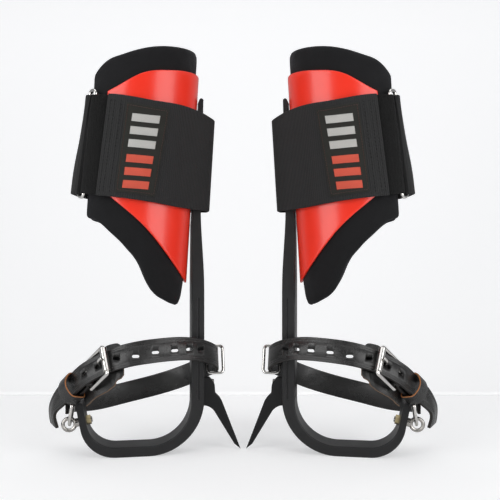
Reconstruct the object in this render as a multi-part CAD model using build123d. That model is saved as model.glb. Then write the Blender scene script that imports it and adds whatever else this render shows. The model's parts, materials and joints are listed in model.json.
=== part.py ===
from build123d import *
import os
from math import atan2, cos, degrees, radians, sin

# A pair of tree climbing spurs. World frame: floor at z = 0, +Z up, the wearer looks
# along -Y, x = 0 is the plane between the two spurs and y = 0 is the middle of their depth.
# One spur is modelled in its own frame first: origin on the floor under the middle of
# its shank, +x towards the other leg, +y towards the heel. The left spur mirrors it.

# ---- placing the pair ----
HALF_STANCE = 50.8          # shank to mid plane
TOE_IN = 9.0                # each spur is turned about its own shank, degrees
FORE_SHIFT = 9.33           # puts the origin midway between the pair's front and back

# ---- shank and stirrup bar ----
BAR_HALF = 6.3              # x of the shank's inner face
BAR_LATERAL = 7.8           # distance of its outer face
BAR_DEPTH = 30.0            # width of the bar along y
TREAD_THICK = 11.0
TREAD_IN = -53.8            # x where the tread meets the big bend
TREAD_OUT = -88.5           # x where the tread meets the outer bend
BEND_RADIUS = 60.0          # outer radius of the bend below the shank
BEND_INSIDE = 46.0          # inner radius of that bend; the bar thickens towards the tread
HEEL_BEND = 38.0            # outer radius of the bend below the upright
HEEL_INSIDE = 31.5          # the bar thins towards the upright
UPRIGHT_LEAN = 12.0
UPRIGHT_LENGTH = 23.0
UPRIGHT_CROWN = 3.5         # rise of the upright's rounded end
SHANK_TOP = 389.0
SHANK_TOP_DEPTH = 22.0
GROOVE_WIDE = 2.4           # groove down the middle of the shank's narrow sides
GROOVE_DEEP = 1.2
EDGE_BREAK = 1.0
INNER_LEAN_FROM = 178.0     # height where the shank's inner face leaves the vertical
OUTER_LEAN_FROM = 190.0     # the same on its outer face
TAPER_FROM = 170.0          # height where the shank starts to narrow along y
RUN = 0.05                  # running clearance on a radius

# ---- gaff ----
GAFF_FACE = BAR_HALF + RUN  # flat face of the gaff on the shank
GAFF_HALF = 6.5
GAFF_TIP_HALF = 1.2
GAFF_SCREW_Z = (61.0, 74.0)
GAFF_SCREW_RADIUS = 3.0
GAFF_HEAD_RADIUS = 5.0
GAFF_SEAT = 13.2            # x of the counterbore's floor

# ---- calf cup frame: u outwards from the shank face, w up along the shank ----
CUP_LEAN = 3.5
CUP_ORIGIN = (-7.2, 0, 250)
CUP_LENGTH = 136.0          # flat face of the shank above the cup origin
SHELL_RADIUS = 60.0
SHELL_THICK = 2.5
SHELL_GAP = 1.5             # shell to shank face, filled by the saddle
CENTRE_U = -(SHELL_RADIUS + SHELL_GAP)
PAD_OUTER = 57.2
PAD_INNER = 47.0
PAD_END = 150.0             # angle where the pad stops beside the calf opening
SCREW_W = 50.0
SCREW_RADIUS = 4.0
SLOT_LOW = 8.0
SLOT_HIGH = 92.0
WEB_THICK = 3.2
CHANNEL_WIDTH = 14.0
RIVET_W = (20.0, 80.0)
RIVET_RADIUS = 2.0
PLATE_WIDTH = 24.0
PLATE_LENGTH = 70.0

# ---- calf strap ----
BAND_WIDTH = 101.0
BAND_TILT = 5.0
BAND_W = 66.5               # height of the band's middle beside the shank
BAND_INNER = 62.9
BAND_THICK = 2.5
WRAP_INNER = 60.6
NOSE_U = 8.0                # corner centres of the band around the shank
NOSE_Y = 9.0
NOSE_RADIUS = 8.0
FLAP_END = -125.0           # angle of the band's free end, 0 = shank, -90 = front
FLAP_HINGE_Y = -17.5
FLAP_HINGE_U = 14.3         # outer face of the band there
BEAD_RADIUS = 1.2
RING_ANGLE = -147.0
RING_LEAN = 6.5
RING_RADIUS = 63.6
RING_WIRE = 2.0
RING_LONG = 110.0           # between the middles of the short bars
RING_SHORT = 10.4           # between the middles of the long bars
PLY = 2.0

# ---- foot straps and their fittings ----
LEATHER = 3.5
LEATHER_WIDTH = 24.5
HOLDER_WIDTH = 22.0         # the short strap that holds the buckle
WIRE = 1.75
SHANK_RING_AT = (10.0, 0, 101.0)
SHANK_RING_LEAN = 22.0
SHANK_RING_TALL = 30.5
SHANK_RING_WIDE = 18.3
ROLLER_AT = (-98.2, -50.0, 110.8)
BUCKLE_ALONG = (-0.521, 0.621, -0.586)
BUCKLE_OUT = (-0.832, -0.517, 0.191)
BUCKLE_LENGTH = 34.0        # roller axis to heel bar axis
BUCKLE_WIDE = 31.4          # between the middles of the side arms
ROLLER_RADIUS = 4.0
ROLLER_LENGTH = 26.2
KEEPER_AT = 60.8            # from the roller along the strap
KEEPER_LENGTH = 15.0
KEEPER_WALL = 2.0
STRAP_UNDER = -(ROLLER_RADIUS + LEATHER / 2 + 0.3)
STRAP_OVER = RING_WIRE + PLY + LEATHER / 2 + 1.1
STRAP_HOLE_AT = 30.5        # from the roller along the strap
TONGUE_HOLE_AT = 11.5
STRAP_HOLE = (9.0, 5.2)     # length and width of an oval hole
TONGUE_HOLE = (11.0, 5.4)
FRONT_HOLE = (8.5, 5.0)
FRONT_HOLES = ((-84.5, 115.5), (-64.5, 118.5), (-44.5, 119.5), (-24.5, 119.0), (-6.0, 117.5))
BAIL_AT = (-134.5, 0, 59.0)
BAIL_FOOT = (-138.0, 0, 34.4)
BAIL_HALF = 14.0
EYE_AT = (-138.7, 0, 34.4)
EYE_RADIUS = 6.5
EYE_WIRE = 2.0
BOLT_RADIUS = 3.0
EYE_FACE = 11.7             # collar's face, from the eye's middle
NUT_FACE = 19.4
STRAP_RIVET_AT = (-141.1, 6.0, 65.0)
STRAP_RIVET_LENGTH = 12.0
STAPLE_RIVET_Y = (-9.0, 9.0)
STAPLE_PIN = 1.5
DOWN = (0, 0, -1)

CUP = Location(Plane(
    origin=CUP_ORIGIN,
    x_dir=(cos(radians(CUP_LEAN)), 0, -sin(radians(CUP_LEAN))),
    z_dir=(sin(radians(CUP_LEAN)), 0, cos(radians(CUP_LEAN)))))
BUCKLE = Location(Plane(origin=ROLLER_AT, x_dir=BUCKLE_ALONG, z_dir=BUCKLE_OUT))
SHANK_RING = Location(SHANK_RING_AT, (-SHANK_RING_LEAN, 0, 0))
UPRIGHT_IN = Vector(cos(radians(UPRIGHT_LEAN)), 0, sin(radians(UPRIGHT_LEAN)))
ACROSS = tuple(Vector(BUCKLE_OUT).cross(Vector(BUCKLE_ALONG)))


# ---- shared builders ----
def prism_xz(face_edges, half_depth):
    """Closed outline in the x-z plane, extruded both ways along y."""
    face = make_face(Plane.XZ * face_edges)
    return extrude(face, amount=half_depth, both=True)


def rod(start, end, radius):
    """Round bar between two points."""
    axis = Vector(end) - Vector(start)
    plane = Plane(origin=start, z_dir=axis)
    return extrude(plane * Circle(radius), amount=axis.length)


def wire_loop(path, radius):
    """Closed wire of round section."""
    section = Plane(origin=path @ 0, z_dir=path % 0) * Circle(radius)
    return sweep(section, path=path)


def ribbon(stations, thickness, count):
    """Strap of rectangular section along a smooth line.

    A station is (point, direction across the strap, width). Widths and directions
    are blended between stations by their order along the line.
    """
    line = Spline([Vector(point) for point, _, _ in stations])
    marks = [line.param_at_point(Vector(point)) for point, _, _ in stations]
    faces = []
    for step in range(count + 1):
        t = step / count
        k = max(i for i, mark in enumerate(marks[:-1]) if mark <= t + 1e-9)
        share = (t - marks[k]) / (marks[k + 1] - marks[k])
        share = share * share * (3 - 2 * share)
        across = Vector(stations[k][1]) * (1 - share) + Vector(stations[k + 1][1]) * share
        width = stations[k][2] * (1 - share) + stations[k + 1][2] * share
        along = line % t
        across = (across - along * across.dot(along)).normalized()
        plane = Plane(origin=line @ t, x_dir=across, z_dir=along)
        faces.append(plane * Rectangle(width, thickness))
    return Solid.make_loft([face.wire() for face in faces], ruled=True)


def on_buckle(along, across, out):
    """Point given from the roller's middle in the buckle's directions."""
    return (BUCKLE * Location((along, across, out))).position


def turned(angle, radius):
    """Point of the cup's cross-section at an angle about the cup's middle."""
    return (CENTRE_U + radius * cos(radians(angle)), radius * sin(radians(angle)))


def sector(start, end, reach=120.0, height=400.0):
    """Pie slice about the cup's middle, angles in degrees."""
    count = 8
    angles = [start + (end - start) * i / count for i in range(count + 1)]
    points = [(CENTRE_U, 0)] + [turned(angle, reach) for angle in angles]
    face = make_face(Polyline(points, close=True))
    return Pos(0, 0, -height / 2) * extrude(face, amount=height)


def cup_tube(outer, inner):
    """Round tube about the cup's middle."""
    face = Circle(outer) - Circle(inner)
    return Pos(CENTRE_U, 0, -120) * extrude(face, amount=340)


# ---- shank, stirrup and gaff ----
def shank_outline():
    outer_left = Vector(TREAD_OUT, HEEL_BEND)
    inner_left = Vector(TREAD_OUT, TREAD_THICK + HEEL_INSIDE)
    lean = radians(UPRIGHT_LEAN)
    aim = Vector(-cos(lean), -sin(lean))
    rise = Vector(-sin(lean), cos(lean)) * UPRIGHT_LENGTH
    inner_foot = inner_left + aim * HEEL_INSIDE
    outer_foot = outer_left + aim * HEEL_BEND
    inner_top = inner_foot + rise
    outer_top = outer_foot + rise * 0.95
    crown = (inner_top + outer_top) * 0.5 + rise.normalized() * UPRIGHT_CROWN
    bend_mid = radians(-45)
    outer_bend = Vector(TREAD_IN + BEND_RADIUS * cos(bend_mid), BEND_RADIUS * (1 + sin(bend_mid)))
    inner_bend = Vector(
        TREAD_IN + BEND_INSIDE * cos(bend_mid),
        TREAD_THICK + BEND_INSIDE * (1 + sin(bend_mid)))
    half_turn = radians(-(90 + 180 + UPRIGHT_LEAN) / 2)
    outer_mid = outer_left + Vector(cos(half_turn), sin(half_turn)) * HEEL_BEND
    inner_mid = inner_left + Vector(cos(half_turn), sin(half_turn)) * HEEL_INSIDE
    cup_foot = Vector(CUP_ORIGIN[0], CUP_ORIGIN[2])
    top_left = cup_foot + Vector(sin(radians(CUP_LEAN)), cos(radians(CUP_LEAN))) * CUP_LENGTH
    lines = [
        Line((BAR_HALF, BEND_RADIUS), (BAR_HALF, INNER_LEAN_FROM)),
        Spline((BAR_HALF, INNER_LEAN_FROM), (2.9, 250), (5.6, SHANK_TOP - 3), tangents=[(0, 1), (0.02, 1)]),
        ThreePointArc((5.6, SHANK_TOP - 3), (3.0, SHANK_TOP), top_left),
        Line(top_left, cup_foot),
        Line(cup_foot, (-BAR_LATERAL, OUTER_LEAN_FROM)),
        Line((-BAR_LATERAL, OUTER_LEAN_FROM), (-BAR_LATERAL, TREAD_THICK + BEND_INSIDE)),
        ThreePointArc((-BAR_LATERAL, TREAD_THICK + BEND_INSIDE), inner_bend, (TREAD_IN, TREAD_THICK)),
        Line((TREAD_IN, TREAD_THICK), (TREAD_OUT, TREAD_THICK)),
        ThreePointArc((TREAD_OUT, TREAD_THICK), inner_mid, inner_foot),
        Line(inner_foot, inner_top),
        ThreePointArc(inner_top, crown, outer_top),
        Line(outer_top, outer_foot),
        ThreePointArc(outer_foot, outer_mid, (TREAD_OUT, 0)),
        Line((TREAD_OUT, 0), (TREAD_IN, 0)),
        ThreePointArc((TREAD_IN, 0), outer_bend, (BAR_HALF, BEND_RADIUS)),
    ]
    return Curve() + lines


def taper_y(low, high, half_low, half_high, x_from, x_to):
    """Solid whose half depth along y goes from one value to another with height."""
    points = [(-half_low, low), (half_low, low), (half_high, high), (-half_high, high)]
    face = make_face(Plane.YZ * Polyline(points, close=True))
    return Pos(x_from, 0, 0) * extrude(face, amount=x_to - x_from)


def outline_edges(solid):
    """Edges of the two flat sides, without those that run straight across."""
    return [edge for edge in solid.edges() if abs((edge @ 0).Y - (edge @ 1).Y) < 0.001]


def shank_stirrup():
    bar = prism_xz(shank_outline(), BAR_DEPTH / 2)
    bar = chamfer(outline_edges(bar), EDGE_BREAK)
    half = BAR_DEPTH / 2
    keep = taper_y(-1, TAPER_FROM, half, half, -200, 40)
    keep += taper_y(TAPER_FROM, SHANK_TOP + 1, half, SHANK_TOP_DEPTH / 2, -200, 40)
    bar = bar & keep
    for side in (-1, 1):
        edge = [(side * half, 20), (side * half * 0.66, 62), (side * 40, 62), (side * 40, 20)]
        wedge = make_face(Plane.YZ * Polyline(edge, close=True))
        bar -= Pos(-160, 0, 0) * extrude(wedge, amount=48)
    bar -= slot_and_channel()
    groove = Pos(0, 0, 115) * Box(GROOVE_WIDE, 2 * GROOVE_DEEP, 110)
    for side in (-1, 1):
        bar -= Pos(0, side * half, 0) * groove
    for z in GAFF_SCREW_Z:
        bar -= rod((-20, 0, z), (20, 0, z), GAFF_SCREW_RADIUS + RUN)
    bar -= rod(eye_point(-5), eye_point(40), BOLT_RADIUS + RUN)
    for y in STAPLE_RIVET_Y:
        bar -= SHANK_RING * rod((-12, y, 0), (4, y, 0), STAPLE_PIN + RUN)
    return bar


def slot_and_channel():
    """Height slot for the cup's screw, and the channel its clamp plate runs in."""
    middle = (SLOT_LOW + SLOT_HIGH) / 2
    length = SLOT_HIGH - SLOT_LOW
    slot = Pos(0, 0, middle) * Box(40, 2 * SCREW_RADIUS + 0.6, length)
    channel = Pos(WEB_THICK + 10, 0, middle) * Box(20, CHANNEL_WIDTH, length)
    return CUP * (slot + channel)


def gaff():
    outline = Curve() + [
        Line((GAFF_FACE, 81), (GAFF_FACE, 51)),
        Spline((GAFF_FACE, 51), (14.2, 48.2), (17.9, 44.6), tangents=[(1, 0), (0.55, -0.85)]),
        Line((17.9, 44.6), (41.0, 6.2)),
        Line((41.0, 6.2), (48.2, 0.2)),
        Line((48.2, 0.2), (26.6, 55.6)),
        Spline((26.6, 55.6), (19.8, 64), (18.2, 74.5), (15.0, 79.5), tangents=[(-0.4, 0.9), (-0.7, 0.7)]),
        Line((15.0, 79.5), (13.4, 81)),
        Line((13.4, 81), (GAFF_FACE, 81)),
    ]
    spike = prism_xz(outline, GAFF_HALF)
    keep = taper_y(54, 90, GAFF_HALF, GAFF_HALF, 0, 60)
    keep += taper_y(0, 54, GAFF_TIP_HALF, GAFF_HALF, 0, 60)
    spike = spike & keep
    for z in GAFF_SCREW_Z:
        spike -= rod((0, 0, z), (40, 0, z), GAFF_SCREW_RADIUS + RUN)
        spike -= rod((GAFF_SEAT, 0, z), (40, 0, z), GAFF_HEAD_RADIUS + 0.2)
    return spike


def gaff_screws():
    """Two socket head screws in one node."""
    group = []
    for z in GAFF_SCREW_Z:
        screw = rod((-5, 0, z), (GAFF_SEAT + 0.1, 0, z), GAFF_SCREW_RADIUS)
        screw += rod((GAFF_SEAT + 0.05, 0, z), (GAFF_SEAT + 4.8, 0, z), GAFF_HEAD_RADIUS)
        socket = Plane(origin=(15.4, 0, z), z_dir=(1, 0, 0)) * RegularPolygon(2.6, 6)
        group.append(screw - extrude(socket, amount=5))
    return Compound(group)


# ---- calf cup ----
def shell_outline():
    top = Spline((-97, 128), (-65, 147.5), (-28, 157.5), (4, 164))
    low = Spline((4, -73), (-3, -65), (-14.8, -47.5), (-45.4, -12.3), (-90, 24))
    return Curve() + [top, Line((4, 164), (4, -73)), low, Line((-90, 24), (-97, 128))]


def calf_shell():
    sheet = cup_tube(SHELL_RADIUS, SHELL_RADIUS - SHELL_THICK)
    sheet = sheet & prism_xz(shell_outline(), 90)
    for w in RIVET_W:
        sheet -= rod((-20, 0, w), (5, 0, w), RIVET_RADIUS + RUN)
    sheet -= rod((-20, 0, SCREW_W), (5, 0, SCREW_W), SCREW_RADIUS + 0.4)
    return CUP * sheet


def pad_outline():
    top = Spline((-100, 161), (-61.7, 174.5), (-31.5, 181.5), (4, 186))
    low = Spline((-7, -70), (-14, -86), (-36.6, -74), (-53.7, -45), (-75, -22), (-100, 1))
    return Curve() + [
        top, Line((4, 186), (4, -60)), Line((4, -60), (-7, -70)), low,
        ThreePointArc((-100, 1), (-109, 3), (-114, 10)),
        Line((-114, 10), (-112, 146)),
        ThreePointArc((-112, 146), (-108, 155), (-100, 161)),
    ]


def calf_pad():
    foam = cup_tube(PAD_OUTER, PAD_INNER) & prism_xz(pad_outline(), 90)
    pocket = Pos(CENTRE_U + PAD_OUTER, 0, SCREW_W) * Box(12.4, PLATE_WIDTH + 3, PLATE_LENGTH + 6)
    mouth = sector(PAD_END, 360 - PAD_END)
    return CUP * (foam - pocket - mouth)


def saddle():
    block = Pos(-5, 0, SCREW_W) * Box(9.9, PLATE_WIDTH, PLATE_LENGTH)
    tube = Pos(CENTRE_U, 0, -120) * extrude(Circle(SHELL_RADIUS + RUN), amount=340)
    block -= tube
    for w in RIVET_W:
        block -= rod((-20, 0, w), (5, 0, w), RIVET_RADIUS + RUN)
    block -= rod((-20, 0, SCREW_W), (5, 0, SCREW_W), SCREW_RADIUS + RUN)
    return CUP * block


def backing_plate():
    outer = SHELL_RADIUS - SHELL_THICK - RUN
    plate = cup_tube(outer, outer - 2.5) & (Pos(-10, 0, SCREW_W) * Box(20, PLATE_WIDTH, PLATE_LENGTH))
    for w in RIVET_W:
        plate -= rod((-20, 0, w), (5, 0, w), RIVET_RADIUS + RUN)
    plate -= rod((-20, 0, SCREW_W), (5, 0, SCREW_W), SCREW_RADIUS + RUN)
    return CUP * plate


def shell_rivets():
    """Two rivets through saddle, shell and backing plate."""
    group = []
    inside = CENTRE_U + SHELL_RADIUS - SHELL_THICK - 2.6
    for w in RIVET_W:
        shaft = rod((inside - 1.6, 0, w), (-0.3, 0, w), RIVET_RADIUS)
        group.append(shaft + rod((inside - 1.6, 0, w), (inside - 0.15, 0, w), 3.6))
    return CUP * Compound(group)


def clamp_plate():
    plate = Pos(WEB_THICK + 1.35, 0, SCREW_W) * Box(2.5, CHANNEL_WIDTH - 1.2, 40)
    plate -= rod((0, 0, SCREW_W), (9, 0, SCREW_W), SCREW_RADIUS + RUN)
    return CUP * plate


def lock_screw():
    seat = WEB_THICK + 2.65
    screw = rod((-9, 0, SCREW_W), (seat + 0.1, 0, SCREW_W), SCREW_RADIUS)
    screw += rod((seat + 0.05, 0, SCREW_W), (seat + 6, 0, SCREW_W), 6.4)
    socket = Plane(origin=(seat + 2.5, 0, SCREW_W), z_dir=(1, 0, 0)) * RegularPolygon(3.5, 6)
    return CUP * (screw - extrude(socket, amount=8))


# ---- calf strap ----
def band_shape(grow_middle, grow_nose):
    """Region inside a band that runs round the cup and over the shank."""
    circles = [
        Pos(CENTRE_U, 0) * Circle(grow_middle),
        Pos(NOSE_U, NOSE_Y) * Circle(grow_nose),
        Pos(NOSE_U, -NOSE_Y) * Circle(grow_nose),
    ]
    edges = [edge for circle in circles for edge in circle.edges()]
    return make_hull(edges)


def band(inner, thick, inner_nose):
    """Closed band of the strap's full width, in cup coordinates."""
    face = band_shape(inner + thick, inner_nose + thick) - band_shape(inner, inner_nose)
    tube = Pos(0, 0, -60) * extrude(face, amount=260)
    return tube & band_slab(BAND_WIDTH)


def band_slab(width):
    tilt = Pos(-11, 0, BAND_W) * Rot(0, BAND_TILT, 0)
    return tilt * Box(400, 200, width)


def front_of_hinge():
    """Half space in front of the flap's hinge line, with the hinge gap taken off."""
    return Pos(-60, FLAP_HINGE_Y - 100.15, 60) * Box(200, 200, 400)


def hinge_bead(radius):
    """Round edge that the front of the strap turns about."""
    bead = Pos(FLAP_HINGE_U, FLAP_HINGE_Y, 60) * Cylinder(radius, 260)
    return bead & band_slab(BAND_WIDTH)


def calf_strap_flap():
    loop = band(BAND_INNER, BAND_THICK, NOSE_RADIUS)
    loop = loop & front_of_hinge()
    return CUP * ((loop & sector(FLAP_END, -5)) + hinge_bead(BEAD_RADIUS))


def label_patch():
    outer = BAND_INNER + BAND_THICK + 0.05
    sheet = cup_tube(outer + 0.8, outer) & band_slab(91)
    return CUP * (sheet & sector(-106.3, -69.2))


def hook_patch():
    sheet = cup_tube(BAND_INNER - 0.05, BAND_INNER - 0.75) & band_slab(95)
    return CUP * (sheet & sector(FLAP_END + 1, -96))


def at_ring(offset):
    """Place of a long bar of the strap's ring; offset is along the strap."""
    u, y = turned(RING_ANGLE, RING_RADIUS)
    w = BAND_W + (-11 - u) * sin(radians(BAND_TILT))
    frame = Pos(u, y, w) * Rot(0, 0, RING_ANGLE) * Rot(-RING_LEAN, 0, 0)
    return frame * Pos(0, offset, 0)


def strap_ring():
    path = Plane.YZ * RectangleRounded(RING_SHORT, RING_LONG, 4.0)
    return CUP * (at_ring(0) * wire_loop(path.wire(), RING_WIRE))


def fold_tube(offset, ply):
    """Strap folded round a long bar of the ring."""
    radius = RING_WIRE + 0.2
    return at_ring(offset) * Cylinder(radius + ply, BAND_WIDTH - 2)


def fold_bore(offset):
    return at_ring(offset) * Cylinder(RING_WIRE + 0.2, BAND_WIDTH + 20)


def loop_band():
    sheet = cup_tube(61.9, 60.4) & sector(RING_ANGLE - 8, -92) & band_slab(BAND_WIDTH - 2)
    sheet -= at_ring(RING_SHORT / 2 - 40) * Box(60, 80, 240)
    sheet += fold_tube(RING_SHORT / 2, 1.5)
    return CUP * (sheet - fold_bore(RING_SHORT / 2))


def calf_strap_wrap():
    loop = band(WRAP_INNER, BAND_THICK, NOSE_RADIUS)
    nose = loop & (Pos(5, 100 + FLAP_HINGE_Y + 0.15, 60) * Box(60, 200, 400))
    back = loop & sector(20, 360 + RING_ANGLE + 8)
    back -= at_ring(40 - RING_SHORT / 2) * Box(60, 80, 240)
    whole = nose + back + fold_tube(-RING_SHORT / 2, 2.5)
    whole -= hinge_bead(BEAD_RADIUS + 0.1)
    return CUP * (whole - fold_bore(-RING_SHORT / 2))


# ---- foot strap ----
def strap_point(along, out):
    return tuple(on_buckle(along, 0, out))


def foot_strap_stations():
    return [
        ((-155.0, 8.0, 32.5), (0.35, -0.93, 0.0), LEATHER_WIDTH),
        ((-156.6, 5.0, 49.0), (0.3, -0.9, -0.2), LEATHER_WIDTH),
        (strap_point(76, STRAP_OVER), ACROSS, LEATHER_WIDTH),
        (strap_point(55, STRAP_OVER), ACROSS, LEATHER_WIDTH),
        (strap_point(BUCKLE_LENGTH, STRAP_OVER), ACROSS, LEATHER_WIDTH),
        (strap_point(2, STRAP_UNDER), ACROSS, LEATHER_WIDTH),
        ((-77.0, -53.0, 115.0), (0.1, -0.4, -0.9), LEATHER_WIDTH),
        ((-42.0, -50.0, 119.5), (0.0, -0.2, -1.0), LEATHER_WIDTH),
        ((-2.5, -31.0, 116.5), (0.1, -0.35, -0.95), LEATHER_WIDTH),
        ((21.5, 0.0, 101.0), (0.0, -0.375, -0.927), LEATHER_WIDTH),
        ((8.0, 29.0, 87.0), (-0.1, -0.3, -0.95), LEATHER_WIDTH),
        ((-10.0, 49.0, 75.5), (0.0, -0.15, -1.0), LEATHER_WIDTH),
        ((-45.0, 64.0, 62.0), DOWN, LEATHER_WIDTH),
        ((-82.0, 62.0, 54.0), DOWN, LEATHER_WIDTH),
        ((-114.5, 47.0, 50.5), DOWN, LEATHER_WIDTH),
        ((-134.8, 27.0, 54.0), DOWN, LEATHER_WIDTH),
        ((-140.9, 11.0, 56.8), DOWN, LEATHER_WIDTH),
        ((-141.1, 1.5, 57.6), DOWN, LEATHER_WIDTH),
    ]


def foot_strap():
    strap = ribbon(foot_strap_stations(), LEATHER, 72)
    strap -= BUCKLE * (Pos(STRAP_HOLE_AT, 0, 0) * slot_hole(*STRAP_HOLE))
    strap -= BUCKLE * (Pos(TONGUE_HOLE_AT, 0, 0) * slot_hole(*TONGUE_HOLE))
    for x, z in FRONT_HOLES:
        strap -= Plane(origin=(x, -20, z), z_dir=(0, -1, 0)) * slot_hole(*FRONT_HOLE)
    return strap - strap_rivet_pin(RIVET_RADIUS + RUN)


def slot_hole(length, width):
    """Cutter for an oval strap hole, standing along its own z."""
    return extrude(SlotOverall(length, width), amount=60, both=True)


def buckle_strap():
    stations = [
        (strap_point(BUCKLE_LENGTH + 2.5, 0), ACROSS, HOLDER_WIDTH),
        (strap_point(52, 0), ACROSS, HOLDER_WIDTH),
        (strap_point(72, 0), ACROSS, HOLDER_WIDTH),
        ((BAIL_AT[0] + 0.3, BAIL_AT[1] - 0.6, BAIL_AT[2] + 2.8), (0, -1, 0), HOLDER_WIDTH),
    ]
    leather = ribbon(stations, 2 * PLY, 16)
    fold = Cylinder(RING_WIRE + 0.15 + PLY, HOLDER_WIDTH)
    leather += BUCKLE * (Pos(BUCKLE_LENGTH, 0, 0) * Rot(90, 0, 0) * fold)
    leather += rod((BAIL_AT[0], -11, BAIL_AT[2]), (BAIL_AT[0], 11, BAIL_AT[2]), WIRE + 0.15 + PLY)
    leather -= BUCKLE * (Pos(BUCKLE_LENGTH, 0, 0) * Rot(90, 0, 0) * Cylinder(RING_WIRE + RUN, 60))
    leather -= rod((BAIL_AT[0], -30, BAIL_AT[2]), (BAIL_AT[0], 30, BAIL_AT[2]), WIRE + RUN)
    leather -= BUCKLE * (Pos(BUCKLE_LENGTH - 1, 0, 0) * Box(18, 9, 20))
    return leather - strap_rivet_pin(RIVET_RADIUS + RUN)


def buckle_underlay():
    path = [(-10.5, -18.8, 26), (-7, -16.5, 34), (0, -12.8, 41), (9, -10.8, 42), (18, -10.4, 42),
            (28, -7.6, 40), (BUCKLE_LENGTH + 3, -5.7, 38), (50, -7.4, 38), (61, -8.6, 36)]
    stations = [(tuple(on_buckle(x, 5.5, z)), ACROSS, wide) for x, z, wide in path]
    return ribbon(stations, 2.4, 24)


def buckle_frame():
    path = RectangleRounded(BUCKLE_LENGTH, BUCKLE_WIDE, 2.4)
    loop = wire_loop(path.wire(), RING_WIRE)
    return BUCKLE * (Pos(BUCKLE_LENGTH / 2, 0, 0) * loop)


def buckle_roller():
    sleeve = Cylinder(ROLLER_RADIUS, ROLLER_LENGTH) - Cylinder(RING_WIRE + RUN, ROLLER_LENGTH + 2)
    return BUCKLE * (Rot(90, 0, 0) * sleeve)


def tongue_path():
    return Plane.XZ * Spline(
        (30.6, -1.6), (25, -4.2), (17.5, -7.0), (12.4, -5.0), (8.6, 2.0), (3.5, 5.6), (-3.0, 5.7))


def buckle_tongue():
    line = tongue_path()
    pin = sweep(Plane(origin=line @ 0, z_dir=line % 0) * Circle(1.5), path=line)
    collar = Pos(BUCKLE_LENGTH, 0, 0) * Rot(90, 0, 0) * Cylinder(RING_WIRE + 1.7, 6)
    bore = Pos(BUCKLE_LENGTH, 0, 0) * Rot(90, 0, 0) * Cylinder(RING_WIRE + RUN, 10)
    return BUCKLE * (pin + collar - bore)


def keeper_loop():
    low = -PLY - 0.5
    high = STRAP_OVER + LEATHER / 2 + 0.6
    wide = LEATHER_WIDTH + 1.2
    inside = RectangleRounded(wide, high - low, 1.0)
    outside = RectangleRounded(wide + 2 * KEEPER_WALL, high - low + 2 * KEEPER_WALL, 3.0)
    middle = (low + high) / 2
    plane = Plane(origin=(KEEPER_AT - KEEPER_LENGTH / 2, 0, middle), x_dir=(0, 1, 0), z_dir=(1, 0, 0))
    return BUCKLE * extrude(plane * (outside - inside), amount=KEEPER_LENGTH)


# ---- outer fittings ----
def eye_point(distance):
    """Point on the eye bolt's axis, measured inwards from the eye's middle."""
    return Vector(EYE_AT) + UPRIGHT_IN * distance


def eye_bolt():
    ring = Location(EYE_AT, (90, 0, 0)) * Torus(EYE_RADIUS, EYE_WIRE)
    stem = rod(eye_point(EYE_RADIUS), eye_point(25.0), BOLT_RADIUS)
    collar = rod(eye_point(EYE_RADIUS + 0.6), eye_point(EYE_FACE), 4.6)
    return ring + stem + collar


def eye_nut():
    face = Plane(origin=eye_point(NUT_FACE), z_dir=UPRIGHT_IN)
    nut = extrude(face * RegularPolygon(5.2, 6), amount=4.2)
    return nut - rod(eye_point(0), eye_point(40), BOLT_RADIUS + RUN)


def strap_rivet_pin(radius):
    """Pin along x through the heel end of the strap and the buckle strap."""
    x, y, z = STRAP_RIVET_AT
    return rod((x - 3.2, y, z), (x + STRAP_RIVET_LENGTH, y, z), radius)


def strap_rivet():
    x, y, z = STRAP_RIVET_AT
    pin = strap_rivet_pin(RIVET_RADIUS)
    pin += rod((x - 3.2, y, z), (x - 2.1, y, z), 4.0)
    return pin + rod((x + STRAP_RIVET_LENGTH - 1.2, y, z), (x + STRAP_RIVET_LENGTH, y, z), 4.0)


def bail():
    bottom = Vector(0, BAIL_FOOT[2] - BAIL_AT[2])
    shoulder = bottom.Y + BAIL_HALF
    outline = Curve() + [
        Line((-BAIL_HALF, shoulder), (-BAIL_HALF, 0)),
        Line((-BAIL_HALF, 0), (BAIL_HALF, 0)),
        Line((BAIL_HALF, 0), (BAIL_HALF, shoulder)),
        ThreePointArc((BAIL_HALF, shoulder), (0, bottom.Y), (-BAIL_HALF, shoulder)),
    ]
    face = fillet(make_face(outline).vertices().group_by(Axis.Y)[-1], 3.0)
    tilt = degrees(atan2(BAIL_FOOT[0] - BAIL_AT[0], BAIL_FOOT[2] - BAIL_AT[2]))
    place = Location(BAIL_AT) * Rot(0, tilt + 180, 0) * Location(Plane(
        origin=(0, 0, 0), x_dir=(0, 1, 0), z_dir=(1, 0, 0)))
    return place * wire_loop(face.face().outer_wire(), WIRE)


# ---- ring on the shank ----
def shank_ring():
    path = Plane.XZ * (Pos(SHANK_RING_WIDE / 2, 0) * RectangleRounded(
        SHANK_RING_WIDE, SHANK_RING_TALL, 4.0))
    return SHANK_RING * wire_loop(path.wire(), WIRE)


def ring_staple():
    base = -(SHANK_RING_AT[0] - BAR_HALF - RUN)
    plate = Pos(base + 1, 0, 0) * Box(2, 24, 12)
    sleeve = Cylinder(3.5, 12)
    solid = plate + sleeve
    solid = solid & (Pos(base + 10, 0, 0) * Box(20, 40, 40))
    solid -= Cylinder(WIRE + RUN, 60)
    for y in STAPLE_RIVET_Y:
        solid -= rod((base - 1, y, 0), (base + 6, y, 0), STAPLE_PIN + RUN)
    return SHANK_RING * solid


def staple_rivets():
    """Two small rivets that hold the staple to the shank."""
    base = -(SHANK_RING_AT[0] - BAR_HALF - RUN)
    group = []
    for y in STAPLE_RIVET_Y:
        pin = rod((base - 6, y, 0), (base + 2.1, y, 0), STAPLE_PIN)
        group.append(pin + rod((base + 2.05, y, 0), (base + 3.2, y, 0), 2.6))
    return SHANK_RING * Compound(group)


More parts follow.
